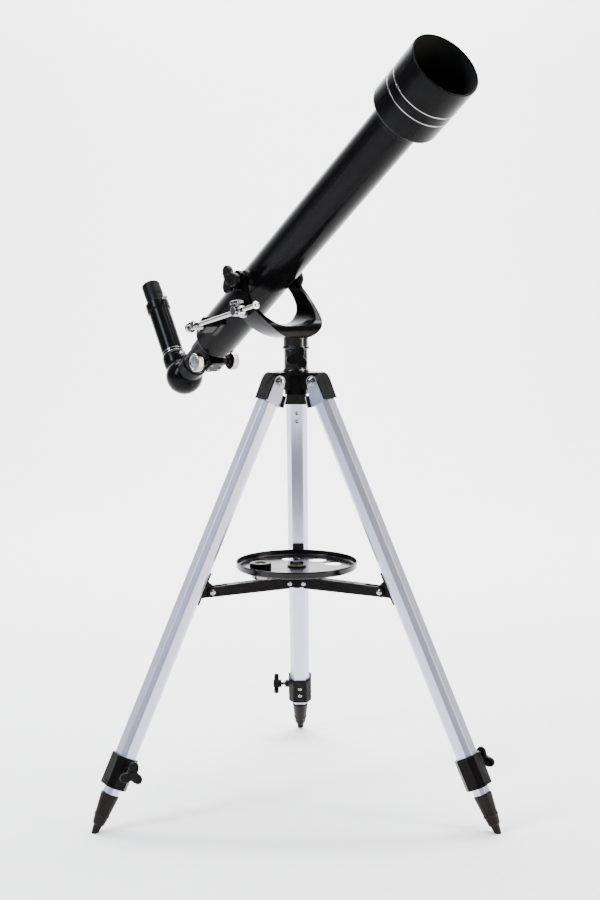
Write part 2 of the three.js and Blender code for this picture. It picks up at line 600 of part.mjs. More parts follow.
function eyepiece() {
  const { top } = ERECTOR;
  return turned("z", [
    [top - 24, 10.4], [top - 24, 12.1], [top + GAP, 12.1], [top + GAP, 13.6], [top + 12, 13.6],
    [top + 13, 14], [EYEPIECE_TOP - 1.5, 13.8], [EYEPIECE_TOP, 12.8], [EYEPIECE_TOP, 9.8],
    [EYEPIECE_TOP - 3, 6.5], [EYEPIECE_TOP - 3, 0], [EYEPIECE_TOP - 7, 0], [EYEPIECE_TOP - 7, 10.4],
  ], 18).translate(ERECTOR.along, 0, 0);
}

// A small thumb screw along x, its tip at the origin's side.
function thumbScrew(radius, tip, head, reach) {
  return turned("x", [[tip, 0], [tip, radius], [head, radius], [head, radius * 2], [reach, radius * 2],
    [reach, 0]], 14);
}

function buildTube(ota) {
  place(ota, "main_tube", pipe("x", TUBE.radius, TUBE.radius - TUBE.wall, TUBE.rear, TUBE.front, 36),
    paintBlack);
  place(ota, "trunnion_boss_left", trunnionBoss(-1), plasticBlack);
  place(ota, "trunnion_boss_right", trunnionBoss(1), plasticBlack);
  place(ota, "dew_shield", dewShield(), paintBlack);
  place(ota, "objective_cell", objectiveCell(), plasticBlack);
  place(ota, "flint_lens", lens(LENS.radius, LENS.seat, LENS.join - 2.2, 0.4, -1.6), glass);
  place(ota, "crown_lens", lens(LENS.radius, LENS.join - 1.8, LENS.front - 1.6, 1.2, 1.6), glass);
  place(ota, "tube_baffle", tubeBaffle(), plasticBlack);
  place(ota, "focuser_body", focuserBody(), plasticBlack);
  place(ota, "pinion_cover", pinionCover(), plasticBlack);
  place(ota, "drawtube", pipe("x", DRAWTUBE.radius, DRAWTUBE.radius - DRAWTUBE.wall, DRAWTUBE.rear,
    DRAWTUBE.front, 24), chrome);
  place(ota, "rack", rack(), brass);
  place(ota, "pinion_shaft", pinionShaft(), brass);
  place(ota, "focus_knob_left", focusKnob(-1), chrome);
  place(ota, "focus_knob_right", focusKnob(1), chrome);
  const eyeEnd = group(ota, [0, 0, 0], [rad(DIAGONAL_TURN), 0, 0]);
  place(eyeEnd, "diagonal_body", diagonalBody(), paintBlack);
  place(eyeEnd, "diagonal_mirror", diagonalMirror(), mirrorCoat);
  place(eyeEnd, "erecting_tube", erectingTube(), paintBlack);
  place(eyeEnd, "erecting_lens", lens(10.5, 60, 65, 0, 1.5, "z").translate(ERECTOR.along, 0, 0),
    glass);
  place(eyeEnd, "eyepiece", eyepiece(), plasticBlack);
  place(eyeEnd, "diagonal_screw",
    thumbScrew(2.2, 12.6, 18.6, 22.6).translate(ERECTOR.along, 0, DIAGONAL_SCREW_HEIGHT), chrome);
  place(eyeEnd, "eyepiece_screw",
    thumbScrew(1.6, 12.6, 22, 28).translate(ERECTOR.along, 0, ERECTOR.top - 5), chrome);
}

// ---- slow-motion rod ----------------------------------------------------------------
function rodBracket() {
  const { pivotAlong, pivotHeight, side } = ROD;
  const body = block([pivotAlong - 8, side + 8, pivotHeight - 8],
    [pivotAlong + 8, -20, pivotHeight + 8]);
  const foot = block([pivotAlong - 14, -33, pivotHeight - 9], [pivotAlong + 14, -20, pivotHeight + 9]);
  const pin = bar("y", 2.9, side - 10, -20, 16).translate(pivotAlong, 0, pivotHeight);
  return cut(join(body, foot), tubeClear(), pin);
}

// Cross-drilled stud, turning in the bracket, that carries the back end of the rod.
function rodSwivel() {
  const stud = turned("y", [[-8.4, 0], [-8.4, 4.6], [-7, 6.4], [6.9, 6.4], [7.6, 5.8],
    [7.6, 2.6], [22, 2.6], [22, 0]], 16);
  return cut(stud, bar("x", ROD.radius + GAP, -20, 20, 12));
}

function slowMotionRod() {
  return turned("x", [
    [-26, 0], [-25.2, 4], [-22.6, 6.2], [-ROD_BACK, 6.6], [-ROD_BACK, 7.2], [-14.5, 7.2],
    [-14.5, ROD.radius], [ROD_FORWARD - 4, ROD.radius], [ROD_FORWARD - 4, 5.2],
    [ROD_FORWARD - 2.4, 5.2], [ROD_FORWARD - 2.4, 2.6], [ROD_FORWARD, 2.2], [ROD_FORWARD, 0],
  ], 14);
}

// Block that slides on the rod; its foot turns against the side of the fork.
function rodClamp() {
  const inner = -YOKE.belly - GAP - ROD.side; // from the rod to the face of the fork
  const post = turned("y", [[-8.5, 0], [-8.5, 6.4], [5.6, 6.4], [7, 8.6], [inner, 8.6],
    [inner, 0]], 16);
  const sleeve = bar("x", 5.6, -7, 11, 14);
  const lockBore = bar("z", 2, 0, 20, 12);
  return cut(join(post, sleeve), bar("x", ROD.radius + GAP, -30, 30, 12), lockBore);
}

function rodClampScrew() {
  return turned("z", [[3.5, 0], [3.5, 1.7], [8.9, 1.7], [8.9, 8.4], [9.7, 9.3], [13, 9.3], [13.8, 8.4],
    [13.8, 0]], 16);
}

function buildRod(ota) {
  place(ota, "rod_bracket", rodBracket(), plasticBlack);
  const atPivot = group(ota, [ROD.pivotAlong, ROD.side, ROD.pivotHeight], [0, -rad(ROD_SLOPE), 0]);
  place(atPivot, "rod_swivel", rodSwivel(), chrome);
  place(atPivot, "slow_motion_rod", slowMotionRod(), chrome);
  const atClamp = group(atPivot, [ROD_CLAMP_DISTANCE, 0, 0]);
  place(atClamp, "rod_clamp", rodClamp(), chrome);
  place(atClamp, "rod_clamp_screw", rodClampScrew(), chrome);
}

// ---- the whole stand ----------------------------------------------------------------
const stand = new THREE.Group();
buildTripod(stand);
const ota = buildMount(stand);
buildTube(ota);
buildRod(ota);

const box = new THREE.Box3().setFromObject(stand, true);
const middle = box.getCenter(new THREE.Vector3());
stand.position.set(-middle.x, -middle.y, -box.min.z);

const telescope = new THREE.Group();
telescope.add(stand);
export default telescope;
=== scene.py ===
"""Looks for the refractor telescope.

Shapes are in millimetres, each in the frame of the body it rides on.
"""
import json
import math

import bmesh
import bpy
from mathutils import Matrix, Vector


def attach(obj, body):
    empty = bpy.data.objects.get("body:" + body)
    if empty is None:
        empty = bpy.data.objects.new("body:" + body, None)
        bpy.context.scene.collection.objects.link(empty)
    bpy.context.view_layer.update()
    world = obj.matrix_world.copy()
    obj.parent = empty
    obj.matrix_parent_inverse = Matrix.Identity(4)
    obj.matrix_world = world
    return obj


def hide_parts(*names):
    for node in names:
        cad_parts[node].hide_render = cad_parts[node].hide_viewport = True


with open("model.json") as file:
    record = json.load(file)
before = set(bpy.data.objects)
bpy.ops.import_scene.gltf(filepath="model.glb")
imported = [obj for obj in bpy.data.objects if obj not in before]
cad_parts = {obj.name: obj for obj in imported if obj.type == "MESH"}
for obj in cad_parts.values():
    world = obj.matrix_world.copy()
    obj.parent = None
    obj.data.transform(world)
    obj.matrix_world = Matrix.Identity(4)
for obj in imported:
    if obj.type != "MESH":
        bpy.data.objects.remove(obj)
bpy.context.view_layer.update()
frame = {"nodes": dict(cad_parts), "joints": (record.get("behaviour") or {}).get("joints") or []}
nodes = frame["nodes"]
joints = {j["name"]: j for j in frame["joints"]}
SIDES = ("left", "right", "back")
UP = Vector((0, 0, 1))
MM = 0.001


# ---- frames -------------------------------------------------------------------------
def pivot(joint):
    return Vector(joints[joint]["pos_m"])


def axis(joint):
    return Vector(joints[joint]["axis"]).normalized()


def axes(origin, x, y):
    made = Matrix((x, y, x.cross(y))).transposed().to_4x4()
    made.translation = origin
    return made


def shift(x, y, z):
    return Matrix.Translation(Vector((x, y, z)) * MM)


def spin(degrees, about):
    return Matrix.Rotation(math.radians(degrees), 4, about)


# GROUND stands under the post. TUBE starts where the tilt axis meets the tube, with x forwards and
# z up from it. EYE_END is the same frame rolled about the tube, as the diagonal is turned.
post = pivot("azimuth_turn")
under_post = Vector((post.x, post.y, 0))
GROUND = Matrix.Translation(under_post)
across = -axis("altitude_tilt")
TUBE = axes(pivot("altitude_tilt"), -axis("focus_travel"), across)
EYE_END = TUBE @ spin(-1.6, "X")
FORK = axes(under_post, across.cross(UP), across)
ROD = axes(pivot("rod_swivel_turn"), axis("rod_clamp_slide"), -axis("rod_swivel_turn"))
CLAMP = ROD @ shift(102, 0, 0)
lock_axis = axis("azimuth_lock_turn")
AZIMUTH_SCREW = axes(pivot("azimuth_lock_turn"), lock_axis.cross(UP), lock_axis)

# LEG hangs from each leg's hinge and LEG_TIP stands at its foot, both with z up the leg.
LEG, LEG_TIP, ARM = {}, {}, {}
for side in SIDES:
    up = -axis(f"leg_extend_{side}")
    tangent = -axis(f"leg_fold_{side}")
    LEG[side] = axes(pivot(f"leg_fold_{side}"), tangent.cross(up), tangent)
    length = pivot(f"leg_fold_{side}").z / up.z
    LEG_TIP[side] = LEG[side] @ Matrix.Translation((0, 0, -length))
    ARM[side] = axes(under_post, tangent.cross(UP), tangent)


def finish(name, color, roughness, metallic=0.0, swing=0.06, tint=0.12, patch=40.0, grain=1500.0,
           bump=0.05, stretch=(1, 1, 1), coat=0.0, specular=0.5):
    """A procedural surface: patchy roughness and colour, and a fine bump that may be drawn out.
    """
    made = bpy.data.materials.new(name)
    made.use_nodes = True
    tree = made.node_tree
    shader = tree.nodes["Principled BSDF"]
    shader.inputs["Metallic"].default_value = metallic
    shader.inputs["Coat Weight"].default_value = coat
    shader.inputs["Coat Roughness"].default_value = 0.05
    shader.inputs["Specular IOR Level"].default_value = specular
    place = tree.nodes.new("ShaderNodeTexCoord")
    drawn = tree.nodes.new("ShaderNodeMapping")
    drawn.inputs["Scale"].default_value = stretch
    tree.links.new(place.outputs["Object"], drawn.inputs["Vector"])

    def noise(scale, detail, vector):
        cloud = tree.nodes.new("ShaderNodeTexNoise")
        cloud.inputs["Scale"].default_value = scale
        cloud.inputs["Detail"].default_value = detail
        tree.links.new(vector, cloud.inputs["Vector"])
        return cloud.outputs["Fac"]

    patches = noise(patch, 4.0, place.outputs["Object"])
    fine = noise(grain, 3.0, drawn.outputs["Vector"])
    level = tree.nodes.new("ShaderNodeMapRange")
    level.inputs["From Min"].default_value = 0.3
    level.inputs["From Max"].default_value = 0.7
    level.inputs["To Min"].default_value = max(0.02, roughness - swing)
    level.inputs["To Max"].default_value = roughness + swing
    tree.links.new(patches, level.inputs["Value"])
    tree.links.new(level.outputs["Result"], shader.inputs["Roughness"])
    ramp = tree.nodes.new("ShaderNodeValToRGB")
    ramp.color_ramp.elements[0].position = 0.3
    ramp.color_ramp.elements[1].position = 0.7
    ramp.color_ramp.elements[0].color = (*[c * (1 - tint) for c in color], 1)
    ramp.color_ramp.elements[1].color = (*[min(1, c * (1 + tint)) for c in color], 1)
    tree.links.new(fine, ramp.inputs["Fac"])
    tree.links.new(ramp.outputs["Color"], shader.inputs["Base Color"])
    relief = tree.nodes.new("ShaderNodeBump")
    relief.inputs["Strength"].default_value = bump
    relief.inputs["Distance"].default_value = 0.0002
    tree.links.new(fine, relief.inputs["Height"])
    tree.links.new(relief.outputs["Normal"], shader.inputs["Normal"])
    return made


gloss_black = finish("gloss_black_paint", (0.0025, 0.0023, 0.0026), 0.17, swing=0.04, patch=25,
                     grain=900, bump=0.03, specular=0.06)
polished_black = finish("polished_black_paint", (0.003, 0.0028, 0.0035), 0.2, swing=0.03, grain=900,
                        bump=0.03)
tray_black = finish("tray_black_paint", (0.004, 0.0035, 0.0035), 0.18, swing=0.05, patch=30,
                    grain=1200, bump=0.05, specular=0.22)
plastic = finish("black_plastic", (0.0035, 0.003, 0.003), 0.28, swing=0.06, grain=2600, bump=0.14,
                 specular=0.06)
flocked = finish("flat_black", (0.006, 0.0055, 0.0052), 0.8, swing=0.08, grain=4000, bump=0.3,
                 specular=0.2)
rubber = finish("foot_rubber", (0.0065, 0.0045, 0.0038), 0.45, swing=0.1, grain=1800, bump=0.3,
                specular=0.12)
aluminium = finish("leg_aluminium", (0.52, 0.52, 0.64), 0.34, 0.85, swing=0.04, tint=0.05, patch=12,
                   grain=900, bump=0.06, stretch=(1, 1, 0.02))
grey_paint = finish("bracket_paint", (0.27, 0.29, 0.35), 0.32, 0.6, swing=0.06, grain=2200, bump=0.12)
chrome = finish("chrome", (0.3, 0.29, 0.285), 0.08, 1.0, swing=0.05, tint=0.05, grain=1500, bump=0.03)
turned_steel = finish("turned_steel", (0.36, 0.36, 0.39), 0.2, 1.0, swing=0.05, tint=0.08, grain=700,
                      bump=0.1)
silver_band = finish("silver_band", (0.3, 0.295, 0.29), 0.18, 1.0, grain=1600, bump=0.05)
brass = finish("brass", (0.55, 0.4, 0.16), 0.3, 1.0, grain=1500, bump=0.08)
mirror = finish("mirror", (0.9, 0.92, 0.93), 0.04, 1.0, swing=0.01, tint=0.02, bump=0.0)
glass = finish("lens_glass", (0.85, 0.93, 0.95), 0.03, swing=0.01, tint=0.02, bump=0.0)
glass.node_tree.nodes["Principled BSDF"].inputs["Transmission Weight"].default_value = 1.0
eye_glass = finish("eye_glass", (0.02, 0.03, 0.045), 0.03, swing=0.01, bump=0.0, coat=1.0)


# ---- outlines -----------------------------------------------------------------------
def bezier(*controls, steps=18):
    """Points on the curve that the control points draw, leaving out its first."""
    degree = len(controls) - 1
    made = []
    for i in range(1, steps + 1):
        t = i / steps
        weights = [math.comb(degree, k) * t ** k * (1 - t) ** (degree - k) for k in range(degree + 1)]
        made.append(tuple(sum(w * p[n] for w, p in zip(weights, controls)) for n in (0, 1)))
    return made


def arc(middle, radius, start, end, steps=18):
    angles = [math.radians(start + (end - start) * i / steps) for i in range(steps + 1)]
    return [(middle[0] + radius * math.cos(a), middle[1] + radius * math.sin(a)) for a in angles]


def rounded(profile, radius, steps=3):
    """The corners of a closed [along, radius] loop eased with short arcs; points on the axis stay."""
    eased = []
    count = len(profile)
    for i, (u, r) in enumerate(profile):
        here = Vector((u, r))
        back = Vector(profile[i - 1]) - here
        ahead = Vector(profile[(i + 1) % count]) - here
        if r == 0 or back.length < 1e-6 or ahead.length < 1e-6:
            eased.append((u, r))
            continue
        reach = min(radius, back.length * 0.45, ahead.length * 0.45)
        start = here + back.normalized() * reach
        end = here + ahead.normalized() * reach
        eased += [(start.x, start.y)] + bezier(start, here, end, steps=steps)
    return eased


def mirrored(profile, sign):
    """A profile turned to the minus side of its axis where the sign is -1."""
    return [(u * sign, r) for u, r in profile]


# ---- shape helpers ------------------------------------------------------------------
class Shape:
    """Gathers solids in millimetres and makes one piece of them."""

    PLANES = {"xz": lambda a, b, c: (a, c, b), "xy": lambda a, b, c: (a, b, c),
              "yz": lambda a, b, c: (c, a, b)}

    def __init__(self):
        self.bm = bmesh.new()

    def _vert(self, point):
        return self.bm.verts.new(Vector(point) * MM)

    def lathe(self, about, profile, at=(0, 0, 0), segments=72, ease=0.35, ripple=None):
        """A turned solid; ripple=(count, depth, lowest radius) cuts grip ribs round it."""
        rings = []
        for u, r in rounded(profile, ease):
            ring = []
            for i in range(segments if r > 1e-6 else 1):
                angle = 2 * math.pi * i / segments
                reach = r
                if ripple and r >= ripple[2]:
                    reach = r - ripple[1] * (0.5 + 0.5 * math.cos(ripple[0] * angle))
                a, b = reach * math.cos(angle), reach * math.sin(angle)
                point = {"x": (u, a, b), "y": (b, u, a), "z": (a, b, u)}[about]
                ring.append(self._vert([p + o for p, o in zip(point, at)]))
            rings.append(ring)
        for first, second in zip(rings, rings[1:] + rings[:1]):
            if len(first) == 1 and len(second) == 1:
                continue
            for i in range(segments):
                a, b = first[i % len(first)], first[(i + 1) % len(first)]
                c, d = second[(i + 1) % len(second)], second[i % len(second)]
                corners = list(dict.fromkeys((a, b, c, d)))
                if len(corners) > 2:
                    self.bm.faces.new(corners)
        return self

    def _walls(self, rings):
        for first, second in rings:
            for i in range(len(first)):
                j = (i + 1) % len(first)
                self.bm.faces.new((first[i], first[j], second[j], second[i]))

    def stack(self, rings):
        """Closed outlines of one length joined into a capped body; each is a list of 3-D points."""
        made = [[self._vert(p) for p in ring] for ring in rings]
        self._walls(zip(made, made[1:]))
        self.bm.faces.new(made[0][::-1])
        self.bm.faces.new(made[-1])
        return self

    def prism(self, plane, outline, low, high, at=(0, 0, 0)):
        point = self.PLANES[plane]
        return self.stack([[[p + o for p, o in zip(point(a, b, c), at)] for a, b in outline]
                           for c in (low, high)])

    def pipe(self, outer, inner, low, high):
        """A hollow length of tube along z between two outlines of the same number of corners."""
        rings = [[self._vert((a, b, c)) for a, b in outline]
                 for outline, c in ((outer, low), (outer, high), (inner, high), (inner, low))]
        self._walls(zip(rings, rings[1:] + rings[:1]))
        return self

    def lobes(self, tip, waist, low, high, turn=0.0, points=96):
        """The padded three-lobed grip of a hand knob, along y, turned by degrees."""
        edge = min(2.2, (high - low) * 0.4)
        levels = [(low, 1.7), (low + edge * 0.3, 0.6), (low + edge, 0), (high - edge, 0),
                  (high - edge * 0.3, 0.6), (high, 1.7)]
        rings = []
        for y, inset in levels:
            ring = []
            for i in range(points):
                angle = 2 * math.pi * i / points
                reach = (tip + waist) / 2 + (tip - waist) / 2 * math.cos(3 * angle) - inset
                angle += math.radians(turn)
                ring.append((reach * math.cos(angle), y, reach * math.sin(angle)))
            rings.append(ring)
        return self.stack(rings)

    def object(self, name):
        bmesh.ops.recalc_face_normals(self.bm, faces=self.bm.faces)
        mesh = bpy.data.meshes.new(name)
        self.bm.to_mesh(mesh)
        self.bm.free()
        made = bpy.data.objects.new(name, mesh)
        bpy.context.scene.collection.objects.link(made)
        return made


def bevelled(made, bevel):
    edge = made.modifiers.new("edge", "BEVEL")
    edge.width = bevel * MM
    edge.segments = 2
    edge.limit_method = "ANGLE"
    edge.angle_limit = math.radians(28)
    return edge


def piece(name, shape, where, body, material, replaces=(), bevel=0.0, grained=False):
    """A finished piece; a grained one keeps its own axes, so that the brushing follows its length."""
    made = shape if isinstance(shape, bpy.types.Object) else shape.object(name)
    made.name = name
    if grained:
        made.matrix_world = where
    else:
        made.data.transform(where)
    made.data.materials.clear()
    made.data.materials.append(material)
    made.data.shade_smooth()
    if bevel:
        bevelled(made, bevel)
    weight = made.modifiers.new("normals", "WEIGHTED_NORMAL")
    weight.keep_sharp = True
    weight.weight = 80
    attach(made, body)
    if replaces:
        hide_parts(*replaces)


def carve(target, tool, operation="DIFFERENCE"):
    step = target.modifiers.new("cut", "BOOLEAN")
    step.operation = operation
    step.solver = "EXACT"
    step.object = tool
    view = bpy.context.evaluated_depsgraph_get()
    mesh = bpy.data.meshes.new_from_object(target.evaluated_get(view))
    target.modifiers.clear()
    target.data = mesh
    bpy.data.objects.remove(tool)


def keep(node, material, bevel=0.35):
    """A CAD node whose shape is right: a better material, and softened edges."""
    made = nodes[node]
    made.data.materials.clear()
    made.data.materials.append(material)
    if bevel:
        weld = made.modifiers.new("weld", "WELD")
        weld.merge_threshold = 1e-5
        bevelled(made, bevel).harden_normals = True


def screw_head(name, where, body, at, about, radius, height):
    """A domed chrome head with a flat black cross of painted shade standing for its recess, facing the
    minus side of its axis.
    """
    dome = [(0, 0), (0, radius), (-height * 0.45, radius), (-height * 0.85, radius * 0.7),
            (-height, radius * 0.3), (-height, 0)]
    piece(name, Shape().lathe(about, dome, at, 32, 0.25), where, body, chrome)
    # The recess is not cut: two thin flat-black boxes, a little proud of the dome, are painted shade in
    # its place.
    shade_cross = Shape()
    plane = {"x": "yz", "y": "xz", "z": "xy"}[about]
    for wide, tall in ((radius * 0.62, radius * 0.13), (radius * 0.13, radius * 0.62)):
        corners = [(-wide, -tall), (wide, -tall), (wide, tall), (-wide, tall)]
        shade_cross.prism(plane, corners, -height * 1.03, -height * 0.7, at)
    piece(name + "_painted_shade", shade_cross, where, body, flocked)


# ---- tripod legs --------------------------------------------------------------------
# Each tube is its width, depth and corner chamfer.
OUTER_TUBE, INNER_TUBE = (28, 23, 6), (22, 17, 4.6)
LEG_LENGTH = 618.0
HEAD_DROP = 30.5
LOCK_HEIGHT = 88
ARM_PIVOT_HEIGHT = 291.5
FACES = ((1, "near"), (-1, "far"))


def leg_outline(width, depth, chamfer, inset=0.0):
    x, y = depth / 2 - inset, width / 2 - inset
    c = chamfer - inset * (2 - math.sqrt(2))
    return [(x, y - c), (x - c, y), (c - x, y), (-x, y - c),
            (-x, c - y), (c - x, -y), (x - c, -y), (x, c - y)]


def boot(where):
    """Rubber foot with a lip and a raised ring, its tip worn flat on the ground."""
    shape = Shape().lathe("z", [(-2, 0), (-2, 3.9), (2.5, 4.6), (10, 5.6), (12.5, 7.6), (22, 8.9),
                                (23, 9.6), (25, 9.8), (26, 9.3), (51, 11.9), (52, 11.4), (52, 0)],
                          ease=0.8)
    shape.prism("xy", leg_outline(*INNER_TUBE, 1.6), 51, 70)
    made = shape.object("boot")
    for vert in made.data.vertices:
        place = where @ vert.co
        if place.z < 0:
            place.z = 0
            vert.co = where.inverted() @ place
    return made


def leg_tubes(side):
    tip, lower_body = LEG_TIP[side], f"lower_leg_{side}"
    upper = Shape().pipe(leg_outline(*OUTER_TUBE), leg_outline(*OUTER_TUBE, 1.4), 75,
                         LEG_LENGTH - HEAD_DROP)
    lower = Shape().pipe(leg_outline(*INNER_TUBE), leg_outline(*INNER_TUBE, 1.3), 52.3, 470)
    piece(f"upper_tube_{side}", upper, tip, f"leg_{side}", aluminium, [f"outer_leg_{side}"], 0.5, True)
    piece(f"lower_tube_{side}", lower, tip, lower_body, aluminium, [f"inner_leg_{side}"], 0.5, True)
    piece(f"boot_{side}", boot(tip), tip, lower_body, rubber, [f"foot_{side}"])
    keep(f"leg_clamp_{side}", plastic, 0.5)
    keep(f"leg_head_{side}", grey_paint, 0.3)
    keep(f"spreader_bracket_{side}", plastic)
    keep(f"spreader_arm_{side}", plastic, 0.3)


def leg_lock(side):
    """The three-lobed knob and its threaded screw."""
    place, body = LEG_TIP[side] @ shift(0, 0, LOCK_HEIGHT), f"leg_lock_{side}"
    grip = Shape().lobes(16.5, 7.5, 32, 39, 80)
    grip.lathe("y", [(28, 0), (28, 5.6), (33, 6.2), (33, 0)])
    grip.lathe("y", [(38, 0), (38, 6.4), (40, 6), (40.4, 4.6), (40.4, 0)])
    piece(f"lock_grip_{side}", grip, place, body, plastic, [f"leg_lock_knob_{side}"])
    thread = [(15, 0), (15, 2.8)]
    for i in range(13):
        thread += [(15.4 + i, 2.8), (15.9 + i, 2.35)]
    thread += [(29, 2.8), (29, 0)]
    piece(f"lock_thread_{side}", Shape().lathe("y", thread, segments=40, ease=0.1), place, body, chrome)


def leg_fasteners(side):
    """Screws on the clamp and bracket, the hinge's bolt, and the black lip on the bracket."""
    leg, body = LEG[side], f"leg_{side}"
    for i, z in enumerate((75.5, 88.5)):
        screw_head(f"clamp_screw_{side}_{i}", LEG_TIP[side], body, (-14.25, 0, z), "x", 2.9, 1.5)
    for i, z in enumerate((-47, -60)):
        screw_head(f"head_screw_{side}_{i}", leg, body, (-11.5, 0, z), "x", 2.9, 1.5)
    bolt = [(11.8, 0), (11.8, 6.2), (13, 6.2), (13, 4.6), (16.4, 4.3), (17.2, 3), (17.2, 0)]
    for sign, word in FACES:
        head = Shape().lathe("y", mirrored(bolt, sign), ease=0.5)
        piece(f"pivot_bolt_{side}_{word}", head, leg, body, chrome)
    pin = Shape().lathe("y", [(-11.8, 0), (-11.8, 3), (11.8, 3), (11.8, 0)])
    piece(f"pivot_pin_{side}", pin, leg, body, chrome)
    low, high = 0.4 - HEAD_DROP, 16.3 - HEAD_DROP
    lip = Shape().stack([[(x, -w, low), (x, w, low), (x, w - 4.2, high), (x, 4.2 - w, high)]
                         for x, w in ((-17.5, 16.4), (-13.6, 16.9))])
    piece(f"head_lip_{side}", lip, leg, body, plastic, (), 0.6)


def arm_rivets(side):
    profile = [(6.5, 0), (6.5, 4), (7.7, 3.8), (8.7, 2.2), (8.9, 0)]
    for radius, end in ((127.4, "leg"), (14.5, "hub")):
        for sign, word in FACES:
            rivet = Shape().lathe("y", mirrored(profile, sign), (radius, 0, ARM_PIVOT_HEIGHT), 40, 0.4)
            piece(f"arm_rivet_{end}_{side}_{word}", rivet, ARM[side], f"arm_{side}", chrome)


for side in SIDES:
    leg_tubes(side)
    leg_lock(side)
    leg_fasteners(side)
    arm_rivets(side)

# ---- hub, column and lock -----------------------------------------------------------
keep("tripod_hub", plastic, 0.6)
sleeve = [(571, 14), (571, 17.2), (573, 17), (574.5, 15.25), (598.6, 15.25), (599.9, 14.6), (599.9, 12)]
piece("column_sleeve", Shape().lathe("z", sleeve, segments=96, ease=0.5), GROUND, "head", polished_black)
knob = Shape().lobes(15.5, 8, 18, 24.5, -12)
knob.lathe("y", [(15.4, 0), (15.4, 5), (19, 5.4), (19, 0)])
knob.lathe("y", [(24, 0), (24, 5.2), (25.2, 4.4), (25.4, 0)])
piece("azimuth_grip", knob, AZIMUTH_SCREW, "azimuth_lock", plastic, ["azimuth_lock_knob"])

# ---- spreader and tray --------------------------------------------------------------
TRAY_FLOOR = 311
HOLE_CIRCLE = 52
FREE_HOLES, SPARE_HOLE = (22, 58, 100), 205

keep("spreader_hub", plastic, 0.4)
dish = Shape().lathe("z", [(310.1, 0), (310.1, 78.7), (312, 80.3), (318, 80.7), (319.2, 80.2),
                           (319.2, 79.4), (313, 79.1), (311.6, 77.5), (311.6, 0)],
                     segments=144, ease=0.6).object("dish")
for angle in (*FREE_HOLES, SPARE_HOLE):
    a = math.radians(angle)
    hole = Shape().lathe("z", [(300, 0), (300, 12.4), (320, 12.4), (320, 0)],
                         (HOLE_CIRCLE * math.cos(a), HOLE_CIRCLE * math.sin(a), 0), 64)
    carve(dish, hole.object("hole"))
piece("tray_dish", dish, GROUND, "tray", tray_black, ["tray"], 0.15)

wing = Shape().lathe("z", [(311.9, 0), (311.9, 13), (313.4, 12.6), (314.6, 10), (315.6, 6.5), (317, 6),
                           (317, 0)], ease=0.8)
wing.prism("xz", [(-9, 314), (9, 314), (8.8, 317), (7.4, 318.6), (4, 317.6), (-4, 317.6),
                  (-7.4, 318.6), (-8.8, 317)], -1.5, 1.5)
wing.lathe("z", [(298, 0), (298, 2.8), (312, 2.8), (312, 0)], segments=32)
piece("tray_wing_screw", wing, GROUND, "tray_screw", plastic, ["tray_screw"], 0.3)

SPARE = GROUND @ spin(SPARE_HOLE, "Z") @ shift(HOLE_CIRCLE, 0, TRAY_FLOOR)
body = Shape().lathe("z", [(0.9, 11), (0.9, 14.2), (9, 14.2), (10, 13.4), (10, 8.4), (8.6, 6.6),
                           (8.6, 5.5), (5, 5.5)], segments=96, ease=0.6)
piece("spare_body", body, SPARE, "spare_eyepiece", plastic, ["spare_eyepiece"])
barrel = Shape().lathe("z", [(-10.5, 10.4), (-10.5, 12.1), (1, 12.1), (1, 10.4)])
piece("spare_barrel", barrel, SPARE, "spare_eyepiece", chrome)
lens = Shape().lathe("z", [(6, 0), (6, 6.4), (7.6, 6.2), (8.4, 3), (8.5, 0)], ease=0.8)
piece("spare_glass", lens, SPARE, "spare_eyepiece", eye_glass)

# ---- fork ---------------------------------------------------------------------------
# The tilt axis stands behind the post, at this place and height.
TRUNNION_X, TRUNNION_Z = -67, 690.5


def cradle(inset, floor, corner):
    """The fork's outline seen along the tube: two arms that widen down to a rounded floor."""
    half, wide = 46.5 - inset, 50.3 - inset
    shoulder = (half, TRUNNION_Z - 13)
    right = [(half, 720.5), shoulder]
    right += bezier(shoulder, (wide, 672), (wide, max(656, floor + corner)), steps=12)
    right += arc((wide - corner, floor + corner), corner, 0, -90, 24)[1:]
    return right + [(-y, z) for y, z in reversed(right)]


def swept_side():
    """The fork's outline from the side: round ends on the tilt axis, swept forwards to the post."""
    outline = arc((TRUNNION_X, TRUNNION_Z), 11.6, 40, 196)
    outline += bezier(outline[-1], (TRUNNION_X - 8, 672), (-57, 656), (-55, 642))
    outline += bezier((-55, 642), (-52, 630), (-39, 620), (-24, 608))
    outline += [(5, 608)]
    outline += bezier((5, 608), (12, 620), (7, 630), (-6, 640))
    outline += bezier((-6, 640), (-22, 652), (-41, 668), (-54, 690))
    return outline


fork = Shape().prism("yz", cradle(0, 613.6, 45), -100, 40).object("fork")
carve(fork, Shape().prism("xz", swept_side(), -60, 60).object("side"), "INTERSECT")
carve(fork, Shape().prism("yz", cradle(5, 630.5, 30), -110, 50).object("inside"))
piece("fork_casting", fork, FORK, "yoke", gloss_black, ["yoke"], 1.0)
socket = Shape().lathe("z", [(600.3, 9), (600.3, 17.2), (601.2, 17.8), (603.2, 17.8), (604.2, 16),
                             (615, 16), (615, 9)], segments=96, ease=0.5)
piece("fork_socket", socket, FORK, "yoke", polished_black)

